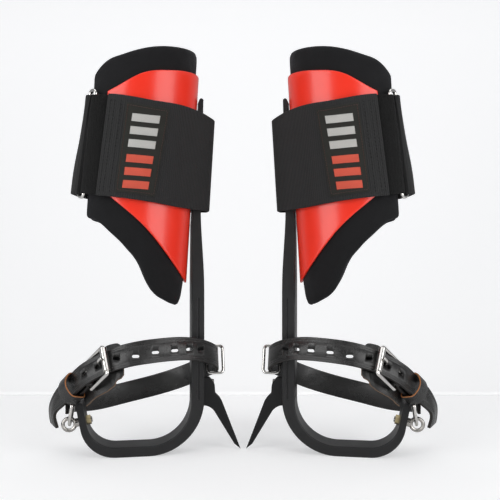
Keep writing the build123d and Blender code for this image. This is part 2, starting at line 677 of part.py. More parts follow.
PIECES = {
    "shank_stirrup": shank_stirrup,
    "gaff": gaff,
    "gaff_screws": gaff_screws,
    "saddle": saddle,
    "clamp_plate": clamp_plate,
    "lock_screw": lock_screw,
    "backing_plate": backing_plate,
    "calf_shell": calf_shell,
    "calf_pad": calf_pad,
    "shell_rivets": shell_rivets,
    "calf_strap_flap": calf_strap_flap,
    "calf_strap_wrap": calf_strap_wrap,
    "label_patch": label_patch,
    "hook_patch": hook_patch,
    "loop_band": loop_band,
    "strap_ring": strap_ring,
    "foot_strap": foot_strap,
    "buckle_strap": buckle_strap,
    "buckle_underlay": buckle_underlay,
    "buckle_frame": buckle_frame,
    "buckle_roller": buckle_roller,
    "buckle_tongue": buckle_tongue,
    "keeper_loop": keeper_loop,
    "eye_bolt": eye_bolt,
    "eye_nut": eye_nut,
    "bail": bail,
    "strap_rivet": strap_rivet,
    "shank_ring": shank_ring,
    "ring_staple": ring_staple,
    "staple_rivets": staple_rivets,
}


def write_pair():
    os.makedirs("parts", exist_ok=True)
    place = Location((-HALF_STANCE, FORE_SHIFT, 0), (0, 0, TOE_IN))
    for name, build in PIECES.items():
        right = place * build()
        export_step(right, f"parts/right_{name}.step")
        export_step(mirror(right, about=Plane.YZ), f"parts/left_{name}.step")


write_pair()
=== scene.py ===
"""Looks of a pair of tree climbing spurs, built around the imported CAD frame."""
import json
import math

import bmesh
import bpy
import numpy as np
from mathutils import Matrix, Vector


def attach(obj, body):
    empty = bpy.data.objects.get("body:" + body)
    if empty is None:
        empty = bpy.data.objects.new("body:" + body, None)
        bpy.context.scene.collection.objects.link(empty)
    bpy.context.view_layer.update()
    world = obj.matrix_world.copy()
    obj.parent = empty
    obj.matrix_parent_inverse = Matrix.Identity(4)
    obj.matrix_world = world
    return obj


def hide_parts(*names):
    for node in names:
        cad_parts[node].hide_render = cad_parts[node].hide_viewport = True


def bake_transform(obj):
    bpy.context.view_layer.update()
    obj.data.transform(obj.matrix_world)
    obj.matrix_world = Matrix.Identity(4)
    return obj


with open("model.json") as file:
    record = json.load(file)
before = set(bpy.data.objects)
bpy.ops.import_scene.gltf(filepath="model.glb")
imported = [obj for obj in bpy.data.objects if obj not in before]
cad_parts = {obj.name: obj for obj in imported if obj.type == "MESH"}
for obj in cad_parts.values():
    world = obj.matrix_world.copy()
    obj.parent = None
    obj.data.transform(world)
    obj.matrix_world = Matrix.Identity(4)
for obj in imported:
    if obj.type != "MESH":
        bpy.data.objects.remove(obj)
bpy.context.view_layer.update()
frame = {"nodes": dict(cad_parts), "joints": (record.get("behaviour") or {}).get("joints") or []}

# Sizes are millimetres in the spur, cup or buckle frame; Place turns them into metres.
# Everything is built for the right spur and then mirrored in the plane x = 0.
MM = 0.001
SIDES = ("right", "left")

# ---- calf cup: angles about the cup's middle, 0 at the shank and -90 in front ----
SCREW_W = 50.0
CUP_CENTRE = -61.5
SHELL_MIDDLE = 58.75
SHELL_THICK = 2.5
SHELL_END_LOW, SHELL_END_TOP = 118.4, 126.3
SHELL_TOP = [(-97, 129), (-90, 132.5), (-61, 149.5), (-32, 156.5), (4, 164)]
SHELL_LOW = [(-90, 24), (-45, -12.5), (-15, -47.5), (4, -73)]
PAD_END = 155.0
PAD_OUTER, PAD_INNER = 56.2, 48.5
PAD_OUTLINE_RADIUS = 55.5   # radius at which the two outlines are given
PAD_TOP = [(-116, 138), (-109, 151.5), (-102, 159), (-84, 166.5), (-56, 176), (-15, 184), (4, 187)]
PAD_LOW = [(-116, 8), (-111, 2), (-102, -1.5), (-86, -14.5), (-70, -29), (-54, -46), (-48, -58), (-40, -70),
           (-25, -80.5), (-15, -84.5), (-10.5, -84), (-8.5, -75), (-7, -60), (4, -56)]
PAD_GROW_LOW, PAD_GROW_TOP = 2.8, 2.9  # makes up for what the rounding of the rim takes off
PAD_CAP = 2.6               # furthest a point of the pad may swell
UNDER_SHELL = 57.35         # largest radius of the pad where the shell covers it
BESIDE_SHELL = 59.4
UNDER_PLATE = 52.8
PLATE_REACH_Y, PLATE_REACH_W, PLATE_SOFT = 22, 46, 8
SHELL_END_MEAN = 123        # degrees
MM_PER_DEGREE = 1.03        # along the shell
CLOTH_FRAMES = 20

# ---- calf strap ----
BAND_TOP = [(-132, 126), (-96, 125.5), (-54, 121.5), (8, 119), (18, 116)]
BAND_LOW = [(-132, 24), (-54, 19), (-16, 16), (18, 16)]
BAND_THICK = 2.5
FLAP_RADIUS = 64.15
WRAP_RADIUS = 61.85
NOSE_U, NOSE_Y, NOSE_RADIUS = 8.0, 9.0, 9.25
FLAP_END_LOW, FLAP_END_TOP = -128.8, -121.6
FLAP_HINGE_Y = -17.5
RING_GAP = 10.4             # between the ring's two long bars
RING_ANGLE = -147.0
RING_WIRE = 2.2             # wire radius and the strap's slack on it
# how far the back of the strap leans out, from its lower to its upper edge
WRAP_LEAN = [(0, 3.0), (0.22, 2.4), (0.49, -0.4), (0.85, -7), (1, -13.5)]
WRAP_LIFT = 176.0           # angle at which the wrap starts to lift towards the ring
LEAN_START, LEAN_END = 140, 214
LOOP_THICK = 1.5
LOOP_RADIUS = 61.15
LOOP_START, LOOP_LIFT = -92.0, -120.0
LABEL_LEFT, LABEL_RIGHT = (-108.6, -103.2), (-73.4, -64.6)
LABEL_THICK = 0.8
LABEL_RADIUS = FLAP_RADIUS + BAND_THICK / 2 + 0.05 + LABEL_THICK / 2
LABEL_MARGIN_LOW, LABEL_MARGIN_TOP = 5.5, 7.0

# ---- leather ----
LEATHER = 3.5
LEATHER_WIDTH = 24.5
ROLLER_RADIUS = 4.0
BUCKLE_WIRE = 2.0
PLY = 2.0
BUCKLE_LENGTH = 34.0
STRAP_UNDER = -(ROLLER_RADIUS + LEATHER / 2 + 0.3)
STRAP_OVER = BUCKLE_WIRE + PLY + LEATHER / 2 + 1.1
KEEPER_AT, KEEPER_LENGTH, KEEPER_WALL = 60.8, 15.0, 2.0
FRONT_HOLES = [(-87, 112), (-67.5, 114.5), (-47.5, 117.5), (-27.5, 118), (-11.5, 118), (1, 117)]
FRONT_HOLE = (7.4, 3.3)     # length and width of an oval hole
BUCKLE_HOLES = [(30.5, 9.0), (11.5, 11.0)]  # place and length
BUCKLE_HOLE_WIDTH = 5.3
HOLDER_WIDTH = 22.0         # the short strap that holds the buckle
RING_AHEAD = 10.0           # shank middle to shank ring
DOWN = (0, 0, -1)


# ---- frames ----
def unit(way):
    return np.asarray(way, float) / np.linalg.norm(way)


class Place:
    """A local frame with millimetres inside and the row frame's metres outside."""

    def __init__(self, origin, x, z):
        self.origin = np.asarray(origin, float)
        x = unit(x)
        y = unit(np.cross(z, x))
        self.axes = np.array([x, y, np.cross(x, y)])

    def points(self, local):
        return self.origin + np.asarray(local, float) @ self.axes * MM

    def ways(self, local):
        return np.asarray(local, float) @ self.axes

    def local(self, world):
        return (np.asarray(world, float) - self.origin) @ self.axes.T / MM


JOINTS = {joint["name"]: joint for joint in frame["joints"]}


def joint_at(name):
    return np.array(JOINTS[name]["pos_m"])


def joint_axis(name):
    return np.array(JOINTS[name]["axis"])


def spur_place():
    ring = joint_at("right_shank_ring_swing") * (1, 1, 0)
    outwards = ring - joint_at("right_bail_swing") * (1, 1, 0)
    return Place(ring - unit(outwards) * RING_AHEAD * MM, outwards, (0, 0, 1))


def cup_place():
    up = joint_axis("right_cup_height")
    return Place(joint_at("right_screw_turn") - up * SCREW_W * MM, joint_axis("right_screw_turn"), up)


def buckle_place():
    along = joint_axis("right_keeper_slide")
    return Place(joint_at("right_roller_spin"), along, np.cross(along, joint_axis("right_roller_spin")))


SPUR = spur_place()
CUP = cup_place()
BUCKLE = buckle_place()


# ---- curves ----
def smooth(share):
    share = np.clip(share, 0, 1)
    return share * share * (3 - 2 * share)


def curve(points, x):
    """Smooth height through a few points, as a function of x."""
    knots, values = np.array(sorted(points), float).T
    slopes = np.gradient(values, knots)
    k = np.clip(np.searchsorted(knots, x) - 1, 0, len(knots) - 2)
    step = knots[k + 1] - knots[k]
    t = np.clip((x - knots[k]) / step, 0, 1)
    start = (1 + 2 * t) * (1 - t) ** 2 * values[k] + t * (1 - t) ** 2 * slopes[k] * step
    return start + t * t * (3 - 2 * t) * values[k + 1] + t * t * (t - 1) * slopes[k + 1] * step


def spline(points, count):
    """Even steps of time on the cubic spline through the points, and each point's own time."""
    points = np.array(points, float)
    steps = np.linalg.norm(np.diff(points, axis=0), axis=1)
    knots = np.concatenate([[0], np.cumsum(steps)])
    last = len(points) - 1
    system = np.eye(last + 1)
    right = np.zeros_like(points)
    for k in range(1, last):
        system[k, k - 1:k + 2] = steps[k - 1], 2 * (steps[k - 1] + steps[k]), steps[k]
        right[k] = 6 * ((points[k + 1] - points[k]) / steps[k] - (points[k] - points[k - 1]) / steps[k - 1])
    bend = np.linalg.solve(system, right)
    time = np.linspace(0, knots[-1], count)
    k = np.clip(np.searchsorted(knots, time, side="right") - 1, 0, last - 1)
    step = steps[k][:, None]
    after = (time - knots[k])[:, None]
    before = step - after
    line = (bend[k] * before ** 3 + bend[k + 1] * after ** 3) / (6 * step)
    line += (points[k] / step - bend[k] * step / 6) * before
    line += (points[k + 1] / step - bend[k + 1] * step / 6) * after
    return line, time, knots


def resample(line, count):
    """The same line with evenly spaced points."""
    line = np.asarray(line, float)
    length = running_length(line)
    marks = np.linspace(0, length[-1], count)
    return np.stack([np.interp(marks, length, line[:, axis]) for axis in range(line.shape[1])], axis=-1)


def running_length(line):
    return np.concatenate([[0], np.cumsum(np.linalg.norm(np.diff(line, axis=0), axis=1))])


def arc(centre, radius, start, end, count):
    turn = np.radians(np.linspace(start, end, count))
    return np.stack([centre[0] + radius * np.cos(turn), centre[1] + radius * np.sin(turn)], axis=-1)


# ---- meshes ----
def make_object(name, points, faces, uvs=None, edge_faces=()):
    """A mesh object from points in metres; uvs holds one (u, v) per corner, in metres."""
    mesh = bpy.data.meshes.new(name)
    mesh.from_pydata([tuple(point) for point in points], [], faces)
    if uvs is not None:
        layer = mesh.uv_layers.new(name="along")
        layer.data.foreach_set("uv", np.asarray(uvs, np.float32).ravel())
    for index in edge_faces:
        mesh.polygons[index].material_index = 1
    made = bpy.data.objects.new(name, mesh)
    bpy.context.scene.collection.objects.link(made)
    tidy = bmesh.new()
    tidy.from_mesh(mesh)
    bmesh.ops.recalc_face_normals(tidy, faces=tidy.faces)
    tidy.to_mesh(mesh)
    tidy.free()
    mesh.shade_smooth()
    return made


def grid_faces(rows, columns, close_columns=False):
    wide = columns if close_columns else columns - 1
    faces = []
    for row in range(rows - 1):
        for column in range(wide):
            after = (column + 1) % columns
            faces.append((row * columns + column, row * columns + after,
                          (row + 1) * columns + after, (row + 1) * columns + column))
    return faces


def sheet(name, grid):
    """Open sheet from a grid of points in metres, with lengths along it as texture places."""
    rows, columns = grid.shape[:2]
    across = running_length(grid[rows // 2])
    up = running_length(grid[:, columns // 2])
    faces = grid_faces(rows, columns)
    uvs = [(across[corner % columns], up[corner // columns]) for face in faces for corner in face]
    return make_object(name, grid.reshape(-1, 3), faces, uvs)


def sweep(name, path, across, outward, profile, closed=False, edges=()):
    """Skin of a profile of (across, outward) points in mm, carried along a path in metres."""
    rings = len(path)
    around = len(profile)
    offset = profile[None, :, :1] * across[:, None, :] + profile[None, :, 1:] * outward[:, None, :]
    points = (path[:, None, :] + offset * MM).reshape(-1, 3)
    turns = rings if closed else rings - 1
    along = running_length(np.vstack([path, path[:1]]))
    girth = running_length(np.vstack([profile, profile[:1]])) * MM
    faces, uvs, edge_faces = [], [], []
    for i in range(turns):
        for j in range(around):
            if j in edges:
                edge_faces.append(len(faces))
            after, beside = (i + 1) % rings, (j + 1) % around
            faces.append((i * around + j, after * around + j, after * around + beside, i * around + beside))
            uvs += [(along[i], girth[j]), (along[i + 1], girth[j]),
                    (along[i + 1], girth[j + 1]), (along[i], girth[j + 1])]
    if not closed:
        for ring in (0, rings - 1):
            edge_faces.append(len(faces))
            faces.append(tuple(ring * around + j for j in range(around)))
            uvs += [(along[ring], girth[j]) for j in range(around)]
    return make_object(name, points, faces, uvs, edge_faces)


def strap_profile(width, thick, round_edge=0.9, creases=()):
    """Section of a leather strap: rounded edges, and grooves in its outer face.

    Returns the points and the numbers of the segments that lie on the two cut edges.
    """
    half, rise = width / 2, thick / 2
    corner = [(round_edge * (1 - math.cos(a)), round_edge * (1 - math.sin(a)))
              for a in np.radians((0, 30, 60, 90))]
    points = [(-half + inset, -rise + lift) for inset, lift in corner]
    points += [(half - inset, -rise + lift) for inset, lift in reversed(corner)]
    points += [(half - inset, rise - lift) for inset, lift in corner]
    marks = sorted([side * (half - crease) for crease in creases for side in (-1, 1)], reverse=True)
    for mark in marks:
        points += [(mark + 0.45, rise), (mark, rise - 0.4), (mark - 0.45, rise)]
    points += [(-half + inset, rise - lift) for inset, lift in reversed(corner)]
    segments = range(len(points))
    edges = [j for j in segments
             if abs(abs(points[j][0]) + abs(points[(j + 1) % len(points)][0]) - width) < 0.6 * round_edge]
    return np.array(points), edges


def apply_modifiers(target):
    """Bakes the modifiers into the mesh."""
    graph = bpy.context.evaluated_depsgraph_get()
    baked = bpy.data.meshes.new_from_object(target.evaluated_get(graph), depsgraph=graph)
    target.modifiers.clear()
    target.data = baked
    return target


def thicken(target, thick, bevel=None):
    """Gives a sheet its thickness and rounded borders."""
    solid = target.modifiers.new("thickness", "SOLIDIFY")
    solid.thickness = thick * MM
    solid.offset = 0
    solid.use_even_offset = True
    soft = target.modifiers.new("border", "BEVEL")
    soft.width = (bevel or thick * 0.4) * MM
    soft.segments = 3
    soft.limit_method = "ANGLE"
    soft.angle_limit = math.radians(50)
    apply_modifiers(target)
    target.data.shade_smooth()
    return target


def cut(target, cutters):
    """Takes the cutters' volumes off the target and drops the cutters."""
    for cutter in cutters:
        change = target.modifiers.new("cut", "BOOLEAN")
        change.operation = "DIFFERENCE"
        change.solver = "EXACT"
        change.object = cutter
    apply_modifiers(target)
    for cutter in cutters:
        bpy.data.objects.remove(cutter)
    return target


def oval_cutter(place, length, width, reach=14.0):
    """Straight-sided oval prism for a punched hole; place puts local (along, across, out) in the world."""
    half = (length - width) / 2
    outline = np.vstack([arc((half, 0), width / 2, -90, 90, 9), arc((-half, 0), width / 2, 90, 270, 9)])
    low = np.column_stack([outline, np.full(len(outline), -reach)])
    high = np.column_stack([outline, np.full(len(outline), reach)])
    count = len(outline)
    faces = [tuple(range(count)), tuple(range(count, 2 * count))]
    faces += [(j, (j + 1) % count, count + (j + 1) % count, count + j) for j in range(count)]
    return make_object("cutter", place(np.vstack([low, high])), faces)


STITCH_AHEAD = 1e-4          # metres; a short look ahead gives the seam's direction
THREAD_SIDES = 6


def stitches(name, seam, outward, pitch, length, thick):
    """Raised threads along a seam, all in one mesh. Seam and outward are arrays in the row frame."""
    marks = running_length(seam)
    centres = np.arange(pitch * MM / 2, marks[-1], pitch * MM)
    sides = np.radians(np.arange(0, 360, 360 // THREAD_SIDES))
    shape = [(-0.5, 0.35, -0.5), (-0.32, 0.9, 0.1), (0.0, 1.0, 0.35), (0.32, 0.9, 0.1), (0.5, 0.35, -0.5)]
    points, faces = [], []
    for mark in centres:
        centre = np.array([np.interp(mark, marks, seam[:, axis]) for axis in range(3)])
        ahead = np.array([np.interp(mark + STITCH_AHEAD, marks, seam[:, axis]) for axis in range(3)])
        rise = unit([np.interp(mark, marks, outward[:, axis]) for axis in range(3)])
        along = unit(ahead - centre + 1e-12)
        beside = np.cross(rise, along)
        first = len(points)
        for share, girth, lift in shape:
            middle = centre + (along * share * length + rise * lift * thick) * MM
            points += [middle + (beside * math.cos(a) + rise * math.sin(a)) * girth * thick * MM / 2
                       for a in sides]
        for ring in range(len(shape) - 1):
            base = first + ring * THREAD_SIDES
            for j in range(THREAD_SIDES):
                beyond = (j + 1) % THREAD_SIDES
                faces.append((base + j, base + beyond, base + THREAD_SIDES + beyond, base + THREAD_SIDES + j))
        last = first + (len(shape) - 1) * THREAD_SIDES
        faces += [tuple(ring_start + j for j in range(THREAD_SIDES)) for ring_start in (first, last)]
    return make_object(name, points, faces)


def both_sides(right, name, body, materials, replaces=(), blend=None):
    """Finishes the right piece and adds its mirror image for the left spur."""
    mesh = right.data.copy()
    mesh.transform(Matrix.Diagonal((-1, 1, 1, 1)))
    mesh.flip_normals()
    left = bpy.data.objects.new("left_" + name, mesh)
    bpy.context.scene.collection.objects.link(left)
    right.name = "right_" + name
    for side, piece in zip(SIDES, (right, left)):
        for finish in materials:
            piece.data.materials.append(finish)
        if blend is not None:
            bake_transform(piece)
        else:
            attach(piece, f"{side}_{body}")
        for node in replaces:
            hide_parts(f"{side}_{node}")


# ---- material building ----
def new_material(name):
    made = bpy.data.materials.new(name)
    made.use_nodes = True
    return made, made.node_tree, made.node_tree.nodes["Principled BSDF"]


def add(tree, kind, inputs=None, **settings):
    """A shader node with its settings and inputs; an input may be a value or another node's output."""
    node = tree.nodes.new(kind)
    for key, value in settings.items():
        setattr(node, key, value)
    wire_up(tree, node, inputs or {})
    return node


def wire_up(tree, target, inputs):
    for key, value in inputs.items():
        if isinstance(value, bpy.types.NodeSocket):
            tree.links.new(value, target.inputs[key])
        else:
            target.inputs[key].default_value = value


def object_place(tree):
    return add(tree, "ShaderNodeTexCoord").outputs["Object"]


def strap_place(tree):
    return add(tree, "ShaderNodeTexCoord").outputs["UV"]


def noise(tree, place, scale, detail=3.0, rough=0.55):
    return add(tree, "ShaderNodeTexNoise", {"Vector": place, "Scale": scale, "Detail": detail,
                                            "Roughness": rough}).outputs["Fac"]


def to_range(tree, value, low, high, start=0.0, end=1.0):
    return add(tree, "ShaderNodeMapRange", {"Value": value, "From Min": start, "From Max": end,
                                            "To Min": low, "To Max": high}).outputs["Result"]


def maths(tree, operation, first, second=0.0):
    return add(tree, "ShaderNodeMath", {0: first, 1: second}, operation=operation).outputs[0]


def mix_colour(tree, share, first, second):
    ends = [end if isinstance(end, bpy.types.NodeSocket) else (*end, 1) for end in (first, second)]
    return add(tree, "ShaderNodeMix", {0: share, 6: ends[0], 7: ends[1]}, data_type="RGBA").outputs[2]


def bump(tree, height, depth_mm, normal=None, strength=1.0):
    inputs = {"Height": height, "Distance": depth_mm * MM, "Strength": strength}
    if normal is not None:
        inputs["Normal"] = normal
    return add(tree, "ShaderNodeBump", inputs).outputs["Normal"]


def edge_mask(tree, radius_mm):
    """Near 1 where the surface turns sharply, and the normal with those edges rounded off."""
    rounded = add(tree, "ShaderNodeBevel", {"Radius": radius_mm * MM}, samples=4).outputs["Normal"]
    plain = add(tree, "ShaderNodeNewGeometry").outputs["Normal"]
    along = add(tree, "ShaderNodeVectorMath", {0: rounded, 1: plain}, operation="DOT_PRODUCT")
    return to_range(tree, along.outputs["Value"], 1.0, 0.0, 0.8, 0.995), rounded


# ---- metals ----
def anodised_bar():
    made, tree, surface = new_material("anodised_bar")
    place = object_place(tree)
    worn, rounded = edge_mask(tree, 0.5)
    blotch = noise(tree, place, 60, 4)
    grain = noise(tree, place, 3200, 2)
    edge = maths(tree, "MULTIPLY", worn, to_range(tree, noise(tree, place, 180, 4), 0.1, 0.75))
    shade = mix_colour(tree, blotch, (0.012, 0.012, 0.0125), (0.021, 0.021, 0.022))
    wire_up(tree, surface, {
        "Base Color": mix_colour(tree, edge, shade, (0.11, 0.11, 0.115)),
        "Metallic": 0.35,
        "Roughness": to_range(tree, blotch, 0.36, 0.5),
        "Specular IOR Level": 0.6,
        "Normal": bump(tree, grain, 0.015, rounded),
    })
    return made


def spike_steel():
    made, tree, surface = new_material("spike_steel")
    place = object_place(tree)
    worn, rounded = edge_mask(tree, 0.35)
    blotch = noise(tree, place, 140, 5)
    edge = maths(tree, "MULTIPLY", worn, to_range(tree, noise(tree, place, 300, 4), 0.0, 0.9))
    shade = mix_colour(tree, blotch, (0.008, 0.008, 0.0085), (0.017, 0.017, 0.018))
    wire_up(tree, surface, {
        "Base Color": mix_colour(tree, edge, shade, (0.16, 0.155, 0.15)),
        "Metallic": 0.5,
        "Roughness": to_range(tree, blotch, 0.42, 0.6),
        "Normal": bump(tree, noise(tree, place, 900, 4), 0.03, rounded),
    })
    return made


def polished(name, colour, rough_low, rough_high, tint):
    """Plated wire and steel: smears and fine scratches change its gloss."""
    made, tree, surface = new_material(name)
    place = object_place(tree)
    _, rounded = edge_mask(tree, 0.25)
    smear = noise(tree, place, 90, 5)
    stretched = add(tree, "ShaderNodeMapping", {"Vector": place, "Scale": (400, 2600, 400)}).outputs[0]
    scratch = noise(tree, stretched, 1.0, 3)
    wire_up(tree, surface, {
        "Base Color": mix_colour(tree, maths(tree, "MULTIPLY", smear, 0.6), colour, tint),
        "Metallic": 1.0,
        "Roughness": to_range(tree, smear, rough_low, rough_high, 0.3, 0.7),
        "Normal": bump(tree, scratch, 0.004, rounded),
    })
    return made


# ---- plastics ----
def red_shell():
    made, tree, surface = new_material("red_shell")
    place = object_place(tree)
    smear = noise(tree, place, 22, 4)
    peel = noise(tree, place, 420, 2)
    wire_up(tree, surface, {
        "Base Color": mix_colour(tree, smear, (0.80, 0.030, 0.014), (0.90, 0.042, 0.020)),
        "Roughness": to_range(tree, smear, 0.27, 0.35),
        "Specular IOR Level": 0.35,
        "Coat Weight": 0.4,
        "Coat Roughness": 0.22,
        "Subsurface Weight": 0.03,
        "Subsurface Radius": (0.004, 0.001, 0.0005),
        "Normal": bump(tree, peel, 0.02),
    })
    return made


def dark_plastic():
    made, tree, surface = new_material("dark_plastic")
    place = object_place(tree)
    wire_up(tree, surface, {
        "Base Color": mix_colour(tree, noise(tree, place, 80), (0.018, 0.018, 0.019), (0.03, 0.03, 0.03)),
        "Roughness": 0.5,
        "Normal": bump(tree, noise(tree, place, 1800, 2), 0.03),
    })
    return made


# ---- cloths ----
def foam_pad():
    made, tree, surface = new_material("foam_pad")
    place = object_place(tree)
    nap = noise(tree, place, 1500, 5, 0.7)
    lie = noise(tree, place, 55, 4)
    wire_up(tree, surface, {
        "Base Color": mix_colour(tree, nap, (0.0045, 0.0045, 0.005), (0.013, 0.013, 0.014)),
        "Roughness": 0.95,
        "Specular IOR Level": 0.2,
        "Sheen Weight": to_range(tree, lie, 0.10, 0.22, 0.35, 0.65),
        "Sheen Roughness": 0.45,
        "Sheen Tint": (0.55, 0.55, 0.6, 1),
        "Normal": bump(tree, nap, 0.25, bump(tree, lie, 0.5)),
    })
    return made


def woven(name, dark, light, rib_mm, pick_mm, depth_mm, rough, sheen):
    """Ribbed weave laid out along the strap: ribs run across it and picks between them. The colour follows
    their relief, as painted shade in the grooves and painted highlight on the tops.
    """
    made, tree, surface = new_material(name)
    split = add(tree, "ShaderNodeSeparateXYZ", {"Vector": strap_place(tree)})
    wobble = to_range(tree, noise(tree, strap_place(tree), 300, 2), -0.0001, 0.0001)
    along = maths(tree, "ADD", split.outputs[0], wobble)
    ribs = maths(tree, "SINE", maths(tree, "MULTIPLY", along, math.tau / (rib_mm * MM)))
    over = maths(tree, "FLOOR", maths(tree, "DIVIDE", split.outputs[0], rib_mm * MM))
    shift = maths(tree, "MULTIPLY", over, math.pi)
    picks = maths(tree, "MULTIPLY", split.outputs[1], math.tau / (pick_mm * MM))
    picks = maths(tree, "SINE", maths(tree, "ADD", picks, shift))
    height = maths(tree, "ADD", maths(tree, "MULTIPLY", ribs, 0.6), maths(tree, "MULTIPLY", picks, 0.4))
    fibre = noise(tree, strap_place(tree), 4000, 3)
    height = maths(tree, "ADD", height, maths(tree, "MULTIPLY", fibre, 0.5))
    faded = noise(tree, strap_place(tree), 45, 4)
    # painted shade and painted highlight: the colour is darker where the weave is low and lighter where it is
    # high; the fibre and faded noises add tone that varies at random
    shade = maths(tree, "ADD", to_range(tree, height, 0.0, 0.8, -1.0, 1.5),
                  maths(tree, "MULTIPLY", faded, 0.3))
    wire_up(tree, surface, {
        "Base Color": mix_colour(tree, shade, dark, light),
        "Roughness": rough,
        "Specular IOR Level": 0.35,
        "Sheen Weight": sheen,
        "Sheen Roughness": 0.5,
        "Normal": bump(tree, height, depth_mm),
    })
    return made


def tape(name, dark, light, scale, depth_mm, sheen):
    """Loop or hook side of a touch fastener: a field of short crooked threads, with painted shade in the
    hollows between them.
    """
    made, tree, surface = new_material(name)
    place = object_place(tree)
    cells = add(tree, "ShaderNodeTexVoronoi", {"Vector": place, "Scale": scale}).outputs["Distance"]
    fuzz = noise(tree, place, scale * 2.2, 5, 0.75)
    height = maths(tree, "ADD", maths(tree, "MULTIPLY", cells, -0.8), fuzz)
    # painted shade: the colour is darker where the threads are low, lighter where they stand up; the fuzz
    # noise also adds random tone
    wire_up(tree, surface, {
        "Base Color": mix_colour(tree, to_range(tree, height, 0, 1, -0.2, 0.8), dark, light),
        "Roughness": 0.9,
        "Specular IOR Level": 0.2,
        "Sheen Weight": sheen,
        "Normal": bump(tree, height, depth_mm),
    })
    return made


def thread(name, colour, gloss):
    """Twisted sewing thread or satin stitches, with lines across it and painted shade in their grooves."""
    made, tree, surface = new_material(name)
    place = object_place(tree)
    lines = add(tree, "ShaderNodeTexWave", {"Vector": place, "Scale": 900.0, "Distortion": 1.5,
                                            "Detail": 2.0}, bands_direction="Z").outputs["Fac"]
    # painted shade: a darker copy of the thread colour, laid in the grooves of the twist
    twist_shade = tuple(part * 0.62 for part in colour)
    wire_up(tree, surface, {
        "Base Color": mix_colour(tree, lines, twist_shade, colour),
        "Roughness": gloss,
        "Sheen Weight": 0.05,
        "Normal": bump(tree, lines, 0.12),
    })
    return made


# ---- leathers ----
def strap_leather():
    made, tree, surface = new_material("strap_leather")
    place = object_place(tree)
    pores = add(tree, "ShaderNodeTexVoronoi", {"Vector": place, "Scale": 950.0},
                feature="DISTANCE_TO_EDGE").outputs["Distance"]
    grain = to_range(tree, pores, 0.0, 1.0, 0.0, 0.25)
    creased = noise(tree, place, 240, 5, 0.65)
    rub = noise(tree, place, 50, 5)
    height = maths(tree, "ADD", maths(tree, "MULTIPLY", grain, 0.55), creased)
    wire_up(tree, surface, {
        "Base Color": mix_colour(tree, rub, (0.0035, 0.0033, 0.0032), (0.0095, 0.009, 0.0086)),
        "Roughness": to_range(tree, maths(tree, "ADD", rub, maths(tree, "MULTIPLY", grain, -0.15)),
                              0.24, 0.46, 0.25, 0.75),
        "Specular IOR Level": 0.5,
        "Coat Weight": 0.3,
        "Coat Roughness": 0.26,
        "Normal": bump(tree, height, 0.16),
    })
    return made


def cut_edge(name, dark, light):
    """Bare edge of cut leather: packed fibres in layers."""
    made, tree, surface = new_material(name)
    place = object_place(tree)
    fibres = noise(tree, place, 1400, 5, 0.7)
    stain = noise(tree, place, 160, 4)
    wire_up(tree, surface, {
        "Base Color": mix_colour(tree, maths(tree, "ADD", maths(tree, "MULTIPLY", fibres, 0.6),
                                             maths(tree, "MULTIPLY", stain, 0.4)), dark, light),
        "Roughness": 0.72,
        "Normal": bump(tree, fibres, 0.18),
    })
    return made


# ---- calf cup pieces ----
def cup_u(angle, radius):
    return CUP_CENTRE + radius * np.cos(np.radians(angle))


def cup_at(angle, radius, w):
    """Cup-frame points from an angle about the cup's middle, a radius and a height."""
    parts = np.broadcast_arrays(cup_u(angle, radius), radius * np.sin(np.radians(angle)), w)
    return np.stack(parts, axis=-1).astype(float)


def calf_shell():
    share = np.linspace(0, 1, 41)[:, None]
    side = np.linspace(-1, 1, 141)[None, :]
    angle = side * (SHELL_END_LOW + (SHELL_END_TOP - SHELL_END_LOW) * share)
    u = cup_u(angle, SHELL_MIDDLE)
    low, top = curve(SHELL_LOW, u), curve(SHELL_TOP, u)
    skin = sheet("shell", CUP.points(cup_at(angle, SHELL_MIDDLE, low + (top - low) * share)))
    return thicken(skin, SHELL_THICK, 0.9)


def pad_blank():
    """Closed shape that the cloth simulation swells into the pad."""
    share = np.linspace(0, 1, 30)[:, None]
    angle = np.linspace(-PAD_END, PAD_END, 76)[None, :]
    u = cup_u(angle, PAD_OUTLINE_RADIUS)
    low = curve(PAD_LOW, u) - PAD_GROW_LOW
    w = low + (curve(PAD_TOP, u) + PAD_GROW_TOP - low) * share
    middle = (PAD_OUTER + PAD_INNER) / 2
    skin = sheet("pad", CUP.points(cup_at(np.broadcast_to(angle, w.shape), middle, w)))
    solid = skin.modifiers.new("thickness", "SOLIDIFY")
    solid.thickness = (PAD_OUTER - PAD_INNER) * MM
    solid.offset = 0
    apply_modifiers(skin)
    subdivide(skin)
    return skin


def swell(target, pressure, cap):
    """Puffs the shape up as a cloth bag, no point going further than the cap."""
    start = vertex_places(target)
    cloth = target.modifiers.new("cloth", "CLOTH")
    cloth.settings.use_pressure = True
    cloth.settings.uniform_pressure_force = pressure
    cloth.settings.effector_weights.gravity = 0
    cloth.point_cache.frame_start = 1
    cloth.point_cache.frame_end = CLOTH_FRAMES
    for step in range(1, CLOTH_FRAMES + 1):
        bpy.context.scene.frame_set(step)
    apply_modifiers(target)
    bpy.context.scene.frame_set(1)
    moved = vertex_places(target) - start
    far = np.linalg.norm(moved, axis=1, keepdims=True)
    limit = cap * MM
    # beyond half of the cap a point slows down, so the limit leaves no crease
    kept = np.where(far > limit / 2, limit / 2 + limit / 2 * np.tanh((far - limit / 2) / (limit / 2)), far)
    set_vertex_places(target, start + moved * kept / np.maximum(far, 1e-9))


def relax(target, rounds):
    """Evens the surface out."""
    smoother = target.modifiers.new("smoother", "SMOOTH")
    smoother.factor = 0.5
    smoother.iterations = rounds
    apply_modifiers(target)


def vertex_places(target):
    places = np.zeros(len(target.data.vertices) * 3)
    target.data.vertices.foreach_get("co", places)
    return places.reshape(-1, 3)


def set_vertex_places(target, places):
    target.data.vertices.foreach_set("co", np.asarray(places, np.float64).ravel())
    target.data.update()


